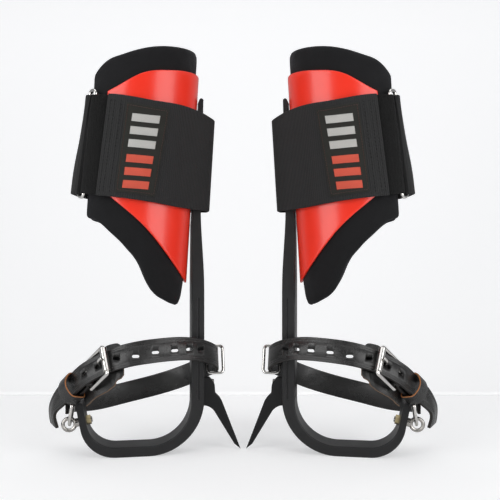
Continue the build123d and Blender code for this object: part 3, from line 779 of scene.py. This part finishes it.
def keep_pad_clear(target):
    """Holds the pad under the shell, off the backing plate and inside the strap."""
    local = CUP.local(vertex_places(target))
    u, y, w = local.T
    radius = np.hypot(u - CUP_CENTRE, y)
    angle = np.degrees(np.arctan2(y, u - CUP_CENTRE))
    covered = np.minimum(w - curve(SHELL_LOW, u), curve(SHELL_TOP, u) - w)
    covered = np.minimum(covered, (SHELL_END_MEAN - np.abs(angle)) * MM_PER_DEGREE)
    limit = UNDER_SHELL + (BESIDE_SHELL - UNDER_SHELL) * smooth((-covered - 1.0) / 8.0)
    plate = smooth((PLATE_REACH_Y - np.abs(y)) / PLATE_SOFT) * (u > CUP_CENTRE)
    plate = plate * smooth((PLATE_REACH_W - np.abs(w - SCREW_W)) / PLATE_SOFT)
    limit = limit + (UNDER_PLATE - limit) * plate
    pressed = np.minimum(radius, limit)
    factor = pressed / np.maximum(radius, 1e-6)
    local[:, 0] = CUP_CENTRE + (u - CUP_CENTRE) * factor
    local[:, 1] = y * factor
    set_vertex_places(target, CUP.points(local))


def subdivide(target):
    target.modifiers.new("finer", "SUBSURF").levels = 1
    apply_modifiers(target)
    target.data.shade_smooth()


def calf_pad():
    pad = pad_blank()
    swell(pad, pressure=4.0, cap=PAD_CAP)
    relax(pad, 3)
    keep_pad_clear(pad)
    pad.data.shade_smooth()
    return pad


# ---- calf strap pieces ----
def band_line(radius, side, end, step=1.6):
    """Strap's middle line from the nose round the cup, in (u, y). Side is -1 in front, 1 behind."""
    away = math.hypot(NOSE_U - CUP_CENTRE, NOSE_Y)
    tangent = math.degrees(math.atan2(NOSE_Y, NOSE_U - CUP_CENTRE) + math.acos((radius - NOSE_RADIUS) / away))
    flat = [(NOSE_U + NOSE_RADIUS, 0.0)]
    nose = arc((NOSE_U, side * NOSE_Y), NOSE_RADIUS, 0, side * tangent, 16)
    round_cup = arc((CUP_CENTRE, 0), radius, side * tangent, end, 90)
    line = np.vstack([flat, nose, round_cup])
    return resample(line, int(running_length(line)[-1] / step))


def strap_rows(count=31):
    """Shares of the strap's width, closer together at the two edges."""
    return (1 - np.cos(np.linspace(0, math.pi, count))) / 2 * 0.35 + np.linspace(0, 1, count) * 0.65


def band_height(u, share):
    low, top = curve(BAND_LOW, u), curve(BAND_TOP, u)
    return low + (top - low) * share


def band_grid(make_line, rows, columns, inset=0.0):
    """Grid over the strap. make_line(share) gives the (u, y) line for a share of the width."""
    grid = []
    for share in rows:
        line = resample(make_line(share), columns)
        low, top = curve(BAND_LOW, line[:, 0]) + inset, curve(BAND_TOP, line[:, 0]) - inset
        grid.append(np.column_stack([line, low + (top - low) * share]))
    return np.array(grid)


def strap_front():
    def line(share):
        return band_line(FLAP_RADIUS, -1, FLAP_END_LOW + (FLAP_END_TOP - FLAP_END_LOW) * share)
    return thicken(sheet("front", CUP.points(band_grid(line, strap_rows(), 110))), BAND_THICK)


def ring_bar(share_forward, w):
    """Middle of a long bar of the ring at height w; share 0 is the rear bar and 1 the front bar."""
    base = CUP.local(joint_at("right_strap_ring_swing"))
    axis = CUP.axes @ joint_axis("right_strap_ring_swing")
    axis = axis * np.sign(axis[2])
    radial = np.array([math.cos(math.radians(RING_ANGLE)), math.sin(math.radians(RING_ANGLE)), 0])
    beside = np.cross(axis, radial)
    start = base + beside * RING_GAP * share_forward
    return start + axis * (w - start[2]) / axis[2]


def folded_line(arrive, radius, thick, share_forward, w, end_step):
    """Line that comes round the cup, folds over a bar of the ring and returns beneath itself.

    arrive is the angle where the line starts to lift; end_step is +1 when the line comes
    with a growing angle. Angles are about the cup's middle.
    """
    bar = ring_bar(share_forward, w)
    bar_radius = math.hypot(bar[0] - CUP_CENTRE, bar[1])
    bar_angle = math.degrees(math.atan2(bar[1], bar[0] - CUP_CENTRE)) % 360
    if end_step < 0:
        bar_angle -= 360
    turn = RING_WIRE + thick / 2
    angles = np.linspace(arrive, bar_angle, 26)
    lift = smooth((angles - arrive) / (bar_angle - arrive))
    rising = radius + (bar_radius + turn - radius) * lift
    outer = cup_at(angles, rising, 0)[:, :2]
    fold = arc(bar[:2], turn, bar_angle, bar_angle + end_step * 180, 14)[1:]
    back = np.linspace(bar_angle, bar_angle - end_step * 9, 8)[1:]
    inner = cup_at(back, bar_radius - turn, 0)[:, :2]
    return np.vstack([outer, fold, inner])


def strap_wrap():
    def line(share):
        w = band_height(CUP_CENTRE - 60.0, share)
        start = band_line(WRAP_RADIUS, 1, WRAP_LIFT)
        tail = folded_line(WRAP_LIFT, WRAP_RADIUS, BAND_THICK, 0.0, w, 1)[1:]
        whole = np.vstack([start, tail])
        radius = np.hypot(whole[:, 0] - CUP_CENTRE, whole[:, 1])
        angle = np.degrees(np.arctan2(whole[:, 1], whole[:, 0] - CUP_CENTRE)) % 360
        # smooth() is 0 past LEAN_END, where the strap is already on the ring
        lean = curve(WRAP_LEAN, share) * smooth((angle - LEAN_START) / 38) * smooth((LEAN_END - angle) / 20)
        factor = (radius + lean) / radius
        return np.column_stack([CUP_CENTRE + (whole[:, 0] - CUP_CENTRE) * factor, whole[:, 1] * factor])
    return thicken(sheet("wrap", CUP.points(band_grid(line, strap_rows(), 250))), BAND_THICK)


def loop_band():
    def line(share):
        w = band_height(CUP_CENTRE - 52.0, share)
        start = arc((CUP_CENTRE, 0), LOOP_RADIUS, LOOP_START, LOOP_LIFT, 30)
        tail = folded_line(LOOP_LIFT, LOOP_RADIUS, LOOP_THICK, 1.0, w, -1)[1:]
        return np.vstack([start, tail])
    fuzzy = thicken(sheet("loop", CUP.points(band_grid(line, strap_rows(41), 110, inset=1.0))), LOOP_THICK)
    places = vertex_places(fuzzy)
    normals = np.zeros(len(places) * 3)
    fuzzy.data.vertices.foreach_get("normal", normals)
    tufts = np.random.default_rng(7).normal(0.0, 0.14, (len(places), 1))
    set_vertex_places(fuzzy, places + normals.reshape(-1, 3) * np.clip(tufts, -0.3, 0.3) * MM)
    return fuzzy


def on_label(across, up, lift=0.0):
    """Row-frame points on the label, from shares of its width and height."""
    across, up = np.broadcast_arrays(np.asarray(across, float), np.asarray(up, float))
    left = LABEL_LEFT[0] + (LABEL_LEFT[1] - LABEL_LEFT[0]) * up
    right = LABEL_RIGHT[0] + (LABEL_RIGHT[1] - LABEL_RIGHT[0]) * up
    angle = left + (right - left) * across
    u = cup_u(angle, LABEL_RADIUS)
    low = curve(BAND_LOW, u) + LABEL_MARGIN_LOW
    w = low + (curve(BAND_TOP, u) - LABEL_MARGIN_TOP - low) * up
    return CUP.points(cup_at(angle, LABEL_RADIUS + lift, w))


def outward_from_cup(points):
    local = CUP.local(points)
    ways = np.column_stack([local[:, 0] - CUP_CENTRE, local[:, 1], np.zeros(len(local))])
    return CUP.ways(ways / np.linalg.norm(ways, axis=1, keepdims=True))


def label_patch():
    grid = on_label(np.linspace(0, 1, 30)[None, :], np.linspace(0, 1, 50)[:, None])
    return thicken(sheet("label", grid), LABEL_THICK)


def label_bars(first, count):
    """Plain slanted bars, embroidered on the label one above the other."""
    bars = []
    pitch, tall, slant = 0.145, 0.088, 0.035
    for number in range(count):
        low = first + pitch * number
        across = np.linspace(0.17, 0.80, 22)[None, :]
        up = low + tall * np.linspace(0, 1, 9)[:, None] + slant * (across - 0.5)
        bars.append(sheet("bar", on_label(across, up, LABEL_THICK / 2 + 0.15)))
    for bar in bars:
        thicken(bar, 0.55, 0.2)
    return join(bars)


def join(parts):
    """One object from several meshes, with their texture places kept."""
    whole = bmesh.new()
    for part in parts:
        whole.from_mesh(part.data)
    whole.to_mesh(parts[0].data)
    whole.free()
    for part in parts[1:]:
        bpy.data.objects.remove(part)
    return parts[0]


def label_stitches():
    edge = 0.045
    corners = [(edge, edge * 0.6), (1 - edge, edge * 0.6), (1 - edge, 1 - edge * 0.6), (edge, 1 - edge * 0.6)]
    rows = []
    for start, end in zip(corners, corners[1:] + corners[:1]):
        share = np.linspace(0, 1, 60)
        seam = on_label(start[0] + (end[0] - start[0]) * share, start[1] + (end[1] - start[1]) * share,
                        LABEL_THICK / 2)
        rows.append(stitches("seam", seam, outward_from_cup(seam), pitch=2.6, length=2.0, thick=0.5))
    return join(rows)


def flap_stitches():
    """Three rows of thread that hold the hook patch, along the free end."""
    rows = []
    for inset in (4.5, 9.0, 16.0):
        share = np.linspace(0.035, 0.965, 90)
        end = FLAP_END_LOW + (FLAP_END_TOP - FLAP_END_LOW) * share
        angle = end + math.degrees(inset / FLAP_RADIUS)
        w = band_height(cup_u(angle, FLAP_RADIUS), share)
        seam = CUP.points(cup_at(angle, FLAP_RADIUS + BAND_THICK / 2, w))
        rows.append(stitches("seam", seam, outward_from_cup(seam), pitch=3.8, length=2.4, thick=0.95))
    return join(rows)


def hook_patch():
    share = np.linspace(0, 1, 40)[:, None]
    start = FLAP_END_LOW + (FLAP_END_TOP - FLAP_END_LOW) * share + 1.5
    angle = start + (-96 - start) * np.linspace(0, 1, 20)[None, :]
    radius = FLAP_RADIUS - BAND_THICK / 2 - 0.45
    w = band_height(cup_u(angle, radius), 0.03 + 0.94 * share)
    return thicken(sheet("hook", CUP.points(cup_at(angle, radius, w))), 0.7)


# ---- leather pieces ----
def on_buckle(along, across, out):
    return tuple(SPUR.local(BUCKLE.points((along, across, out))))


def buckle_across():
    return tuple(SPUR.axes @ BUCKLE.axes[1])


def ribbon(name, stations, thick, count, creases=(), round_edge=0.9):
    """Strap through stations of (point, direction across it, width), all in the spur frame."""
    line, time, knots = spline([point for point, _, _ in stations], count)
    ways = np.array([way for _, way, _ in stations], float)
    widths = np.array([width for _, _, width in stations], float)
    k = np.clip(np.searchsorted(knots, time, side="right") - 1, 0, len(knots) - 2)
    share = smooth((time - knots[k]) / (knots[k + 1] - knots[k]))[:, None]
    across = ways[k] * (1 - share) + ways[k + 1] * share
    width = widths[k] * (1 - share[:, 0]) + widths[k + 1] * share[:, 0]
    along = np.gradient(line, axis=0)
    along /= np.linalg.norm(along, axis=1, keepdims=True)
    across -= along * np.sum(across * along, axis=1, keepdims=True)
    across /= np.linalg.norm(across, axis=1, keepdims=True)
    outward = np.cross(across, along)
    profile, edges = strap_profile(widths.max(), thick, round_edge, creases)
    scale = (width / widths.max())[:, None]
    return sweep(name, SPUR.points(line), SPUR.ways(across) * scale, SPUR.ways(outward), profile, edges=edges)


def foot_strap_stations():
    across = buckle_across()
    over = [(on_buckle(along, shift, STRAP_OVER), across)
            for along, shift in ((76, -1.5), (55, -1.5), (BUCKLE_LENGTH, -0.5))]
    course = [
        ((-155.0, 8.0, 32.5), (0.35, -0.93, 0.0)),
        ((-156.6, 5.0, 49.0), (0.3, -0.9, -0.2)),
        *over,
        (on_buckle(2, 0, STRAP_UNDER), across),
        ((-77.0, -53.0, 115.0), (0.1, -0.4, -0.9)),
        ((-42.0, -50.0, 119.5), (0.0, -0.2, -1.0)),
        ((-2.5, -31.0, 116.5), (0.1, -0.35, -0.95)),
        ((21.5, 0.0, 101.0), (0.0, -0.375, -0.927)),
        ((8.0, 29.0, 87.0), (-0.1, -0.3, -0.95)),
        ((-10.0, 49.0, 75.5), (0.0, -0.15, -1.0)),
        ((-45.0, 64.0, 62.0), DOWN),
        ((-82.0, 62.0, 54.0), DOWN),
        ((-114.5, 47.0, 50.5), DOWN),
        ((-134.8, 27.0, 54.0), DOWN),
        ((-140.9, 11.0, 56.8), DOWN),
        ((-141.1, 1.5, 57.6), DOWN),
    ]
    return [(point, way, LEATHER_WIDTH) for point, way in course]


def foot_strap():
    strap = ribbon("strap", foot_strap_stations(), LEATHER, 300, creases=(2.6, 4.6))
    cutters = []
    for x, z in FRONT_HOLES:
        cutters.append(oval_cutter(lambda p, x=x, z=z: SPUR.points(
            np.column_stack([x + p[:, 0], -42 + p[:, 2] * 2, z + p[:, 1]])), *FRONT_HOLE))
    for along, length in BUCKLE_HOLES:
        cutters.append(oval_cutter(lambda p, along=along: BUCKLE.points(
            np.column_stack([along + p[:, 0], p[:, 1], p[:, 2]])), length, BUCKLE_HOLE_WIDTH))
    return cut(strap, cutters)


def buckle_strap():
    """Short folded strap from the buckle's heel bar to the bail."""
    bail = SPUR.local(joint_at("right_bail_swing"))
    stations = [(on_buckle(along, 0, 0), buckle_across(), HOLDER_WIDTH)
                for along in (BUCKLE_LENGTH + 1.5, 52, 72)]
    stations.append((tuple(bail + (0.2, -0.4, 1.8)), (0, -1, 0), HOLDER_WIDTH))
    strap = ribbon("short", stations, 2 * PLY, 60, creases=(2.4,))
    slot = oval_cutter(lambda p: BUCKLE.points(
        np.column_stack([BUCKLE_LENGTH - 1 + p[:, 0], p[:, 1], p[:, 2]])), 20.0, 9.0)
    cut(strap, [slot])
    heel = folded_end(on_buckle(BUCKLE_LENGTH, 0, 0), buckle_across(), BUCKLE_WIRE + 0.15, 5.0)
    foot = folded_end(tuple(bail), (0, 1, 0), 1.9, 0.0)
    return join([strap] + heel + foot)


def folded_end(middle, axis, bore, gap):
    """Leather rolled round a bar: two short tubes with a gap between them, or one."""
    axis = unit(axis)
    side = unit(np.cross(axis, (0.3, 0.2, 0.9)))
    rise = np.cross(axis, side)
    half = HOLDER_WIDTH / 2
    spans = [(-half, -gap), (gap, half)] if gap else [(-half, half)]
    turn = np.radians(np.linspace(0, 360, 29)[:-1])
    outward = np.cos(turn)[:, None] * side + np.sin(turn)[:, None] * rise
    across = SPUR.ways(np.broadcast_to(axis, outward.shape))
    tubes = []
    for low, high in spans:
        profile, _ = strap_profile(high - low, PLY, 0.6)
        path = np.array(middle) + axis * (low + high) / 2 + outward * (bore + PLY / 2)
        tubes.append(sweep("tube", SPUR.points(path), across, SPUR.ways(outward), profile, closed=True))
    return tubes


def buckle_underlay():
    path = [(-5.5, 4.0, -18.0, 28), (-3.5, 3.5, -16.2, 36), (1, 2.0, -12.8, 44), (9, 1.2, -10.6, 47),
            (18, 0.6, -9.8, 48), (28, 0.6, -7.2, 47), (BUCKLE_LENGTH + 3, 0.8, -5.5, 45), (50, 1.2, -6.8, 42),
            (61, 2.0, -8.2, 38)]
    stations = [(on_buckle(x, shift, z), buckle_across(), wide) for x, shift, z, wide in path]
    return ribbon("underlay", stations, 2.4, 70, creases=(2.8,), round_edge=0.7)


def keeper_loop():
    low = -PLY - 0.5
    high = STRAP_OVER + LEATHER / 2 + 0.6
    half_wide = (LEATHER_WIDTH + 1.2) / 2 + KEEPER_WALL / 2
    half_tall = (high - low) / 2 + KEEPER_WALL / 2
    middle, bend = (low + high) / 2, 2.6
    loop = []
    for start, side, rise in ((0, 1, 1), (90, -1, 1), (180, -1, -1), (270, 1, -1)):
        corner = (side * (half_wide - bend), rise * (half_tall - bend))
        loop += [tuple(point) for point in arc(corner, bend, start, start + 90, 9)]
    loop = resample(np.array(loop + loop[:1]), 121)[:-1]
    # the outer long side bows out, as wet-formed leather does
    bow = np.where(loop[:, 1] > 0, 6.5, 0.4) * (1 - (loop[:, 0] / half_wide) ** 2)
    loop[:, 1] += np.sign(loop[:, 1]) * np.clip(bow, 0, None)
    path = BUCKLE.points(np.column_stack([np.full(len(loop), KEEPER_AT), loop[:, 0], loop[:, 1] + middle]))
    ahead = np.roll(loop, -1, axis=0) - np.roll(loop, 1, axis=0)
    normal = np.column_stack([np.zeros(len(loop)), ahead[:, 1], -ahead[:, 0]])
    normal /= np.linalg.norm(normal, axis=1, keepdims=True)
    across = np.broadcast_to([1.0, 0.0, 0.0], normal.shape)
    profile, edges = strap_profile(KEEPER_LENGTH, KEEPER_WALL, 0.5)
    return sweep("keeper", path, BUCKLE.ways(across), BUCKLE.ways(normal), profile, closed=True, edges=edges)


# ---- assembly ----
def finish_cad(materials):
    """Gives every CAD node that stays in view its material."""
    finishes = {
        "anodised_bar": ["shank_stirrup"],
        "spike_steel": ["gaff", "ring_staple"],
        "bright_steel": ["gaff_screws", "lock_screw", "clamp_plate", "backing_plate", "shell_rivets",
                         "eye_bolt", "strap_rivet", "staple_rivets"],
        "chrome_wire": ["strap_ring", "buckle_frame", "buckle_roller", "buckle_tongue", "bail", "shank_ring"],
        "brass_nut": ["eye_nut"],
        "dark_plastic": ["saddle"],
    }
    for slot, nodes in finishes.items():
        for node in nodes:
            for side in SIDES:
                shown = frame["nodes"][f"{side}_{node}"]
                shown.data.materials.clear()
                shown.data.materials.append(materials[slot])


def make_materials():
    return {
        "anodised_bar": anodised_bar(),
        "spike_steel": spike_steel(),
        "bright_steel": polished("bright_steel", (0.60, 0.58, 0.55), 0.18, 0.34, (0.42, 0.40, 0.38)),
        "chrome_wire": polished("chrome_wire", (0.82, 0.81, 0.79), 0.07, 0.18, (0.62, 0.59, 0.55)),
        "brass_nut": polished("brass_nut", (0.62, 0.52, 0.30), 0.25, 0.4, (0.45, 0.36, 0.2)),
        "dark_plastic": dark_plastic(),
        "red_shell": red_shell(),
        "foam_pad": foam_pad(),
        "webbing": woven("webbing", (0.0035, 0.0035, 0.0037), (0.017, 0.017, 0.0175),
                         rib_mm=2.3, pick_mm=1.5, depth_mm=0.2, rough=0.75, sheen=0.05),
        "label_cloth": woven("label_cloth", (0.005, 0.005, 0.0036), (0.015, 0.0145, 0.0105),
                             rib_mm=0.6, pick_mm=0.8, depth_mm=0.06, rough=0.75, sheen=0.05),
        "loop_tape": tape("loop_tape", (0.003, 0.003, 0.003), (0.014, 0.014, 0.014), 900, 0.5, 0.05),
        "hook_tape": tape("hook_tape", (0.006, 0.006, 0.006), (0.03, 0.03, 0.03), 620, 0.6, 0.0),
        "black_thread": thread("black_thread", (0.0012, 0.0012, 0.0012), 0.85),
        "red_thread": thread("red_thread", (0.80, 0.10, 0.05), 0.6),
        "red_brown_thread": thread("red_brown_thread", (0.075, 0.018, 0.012), 0.7),
        "grey_thread": thread("grey_thread", (0.62, 0.61, 0.58), 0.6),
        "strap_leather": strap_leather(),
        "black_edge": cut_edge("black_edge", (0.006, 0.005, 0.005), (0.02, 0.016, 0.013)),
        "tan_edge": cut_edge("tan_edge", (0.30, 0.10, 0.03), (0.52, 0.22, 0.08)),
        "brown_edge": cut_edge("brown_edge", (0.10, 0.055, 0.03), (0.24, 0.15, 0.09)),
    }


def dress_spurs(materials):
    m = materials
    both_sides(calf_shell(), "calf_shell_skin", "cup", [m["red_shell"]], ["calf_shell"])
    both_sides(calf_pad(), "calf_pad_skin", "cup", [m["foam_pad"]], ["calf_pad"])
    hinge = CUP.points([(NOSE_U + 6, FLAP_HINGE_Y + 12, 66.5), (NOSE_U + 6, FLAP_HINGE_Y - 8, 66.5)])
    both_sides(strap_front(), "strap_front_skin", "strap_flap", [m["webbing"]],
               ["calf_strap_flap"], blend=hinge)
    both_sides(strap_wrap(), "strap_wrap_skin", "cup", [m["webbing"]], ["calf_strap_wrap"])
    both_sides(label_patch(), "label_patch_skin", "strap_flap", [m["label_cloth"]],
               ["label_patch"])
    both_sides(label_bars(0.06, 3), "label_red_bars", "strap_flap", [m["red_thread"]])
    both_sides(label_bars(0.52, 3), "label_grey_bars", "strap_flap", [m["grey_thread"]])
    both_sides(label_stitches(), "label_stitches", "strap_flap", [m["red_brown_thread"]])
    both_sides(flap_stitches(), "flap_stitches", "strap_flap", [m["black_thread"]])
    both_sides(hook_patch(), "hook_patch_skin", "strap_flap", [m["hook_tape"]], ["hook_patch"])
    both_sides(loop_band(), "loop_band_skin", "strap_ring", [m["loop_tape"]], ["loop_band"])
    leather = [m["strap_leather"], m["black_edge"]]
    both_sides(foot_strap(), "foot_strap_skin", "frame", leather, ["foot_strap"])
    both_sides(buckle_strap(), "buckle_strap_skin", "frame", leather, ["buckle_strap"])
    both_sides(buckle_underlay(), "buckle_underlay_skin", "frame", [m["strap_leather"], m["brown_edge"]],
               ["buckle_underlay"])
    both_sides(keeper_loop(), "keeper_loop_skin", "keeper", [m["strap_leather"], m["tan_edge"]],
               ["keeper_loop"])


# ---- stage, light and camera ----
def studio_floor():
    """Pale floor that curves up into a back wall."""
    wide, near, far, tall, bend = 5.0, -3.0, 2.6, 4.5, 2.3
    profile = [(near, 0.0), (far - bend, 0.0)]
    profile += [(far - bend + bend * math.sin(a), bend - bend * math.cos(a))
                for a in np.radians(np.linspace(0, 90, 120))]
    profile.append((far, tall))
    points = [(x, y, z) for y, z in profile for x in (-wide, wide)]
    floor = make_object("studio_floor", points, grid_faces(len(profile), 2))
    made, tree, surface = new_material("studio_paper")
    grain = noise(tree, object_place(tree), 900, 3)
    depth = add(tree, "ShaderNodeSeparateXYZ", {"Vector": object_place(tree)}).outputs[1]
    glow = to_range(tree, depth, 0.43, 0.78, -0.1, 2.3)
    # the paper looks brighter than it lights the spurs
    seen = to_range(tree, add(tree, "ShaderNodeLightPath").outputs["Is Camera Ray"], 0.2, 1.0)
    wire_up(tree, surface, {
        "Base Color": mix_colour(tree, grain, (0.60, 0.60, 0.60), (0.62, 0.62, 0.62)),
        "Roughness": 0.85,
        "Specular IOR Level": 0.2,
        "Emission Color": (0.98, 0.985, 1.0, 1),
        "Emission Strength": maths(tree, "MULTIPLY", glow, seen),
        "Normal": bump(tree, grain, 0.02),
    })
    floor.data.materials.append(made)
    floor.data.shade_smooth()


def softbox(name, place, aim, wide, tall, power):
    lamp = bpy.data.lights.new(name, "AREA")
    lamp.shape = "RECTANGLE"
    lamp.size, lamp.size_y = wide, tall
    lamp.energy = power
    holder = bpy.data.objects.new(name, lamp)
    holder.location = place
    holder.rotation_euler = (Vector(aim) - Vector(place)).to_track_quat("-Z", "Y").to_euler()
    bpy.context.scene.collection.objects.link(holder)


def studio_light():
    aim = (0, 0, 0.2)
    for side in (-1, 1):
        softbox("side_softbox", (side * 0.98, -0.80, 0.42), aim, wide=0.95, tall=1.4, power=14)
    softbox("top_softbox", (0, -0.1, 1.7), aim, wide=1.6, tall=1.6, power=9)
    world = bpy.data.worlds.new("studio")
    world.use_nodes = True
    tree = world.node_tree
    way = add(tree, "ShaderNodeTexCoord").outputs["Generated"]
    split = add(tree, "ShaderNodeSeparateXYZ", {"Vector": way})
    wire_up(tree, tree.nodes["Background"], {
        "Color": (0.9, 0.92, 0.95, 1),
        # the room is darker behind the camera than behind the spurs
        "Strength": to_range(tree, split.outputs[1], 0.06, 0.45, -0.8, 0.6),
    })
    bpy.context.scene.world = world


def camera():
    lens = bpy.data.cameras.new("camera")
    lens.lens = 49.9
    lens.sensor_width = 36.0
    lens.clip_start = 0.01
    holder = bpy.data.objects.new("camera", lens)
    holder.location = (0.00748, -0.7607, 0.2227)
    holder.rotation_euler = (math.radians(90), 0, 0)
    bpy.context.scene.collection.objects.link(holder)
    bpy.context.scene.camera = holder
    bpy.context.scene.view_settings.view_transform = "Standard"


MATERIALS = make_materials()
finish_cad(MATERIALS)
dress_spurs(MATERIALS)
studio_floor()
studio_light()
camera()
